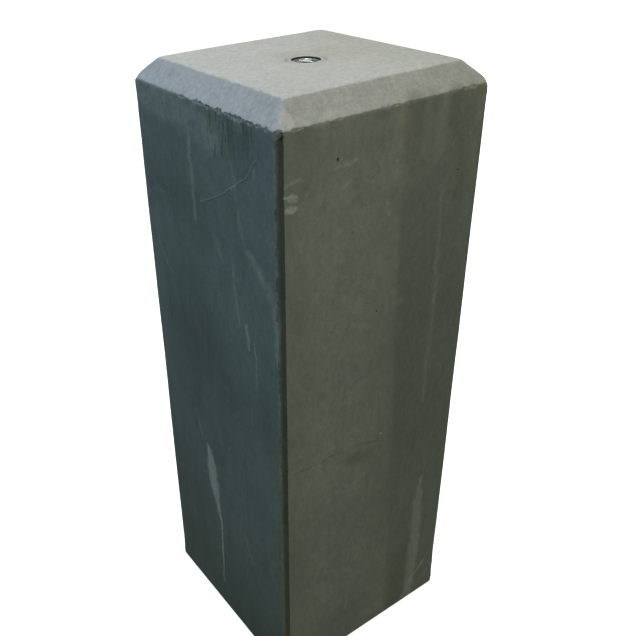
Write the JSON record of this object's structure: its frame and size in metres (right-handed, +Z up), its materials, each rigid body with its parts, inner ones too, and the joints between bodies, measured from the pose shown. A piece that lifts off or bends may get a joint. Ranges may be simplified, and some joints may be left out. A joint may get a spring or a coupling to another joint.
{
  "type": "precast concrete post base block",
  "caption": "Square precast concrete base block for a post, with bevelled top edges and a threaded steel socket cast into its top.",
  "frame": {"origin": "middle of the underside", "axes": "+Z up along the block's height; X and Y square to its side faces; in the picture the left face is -X and the right face is -Y"},
  "size_m": [0.18, 0.18, 0.5],
  "materials": {
    "concrete": "smooth cast face, dark grey, with worn arrises and pale rub marks",
    "zinc_plated_steel": "bright zinc plating"
  },
  "bodies": {
    "root": {"concrete_block": "concrete", "threaded_socket": "zinc_plated_steel"}
  },
  "joints": []
}
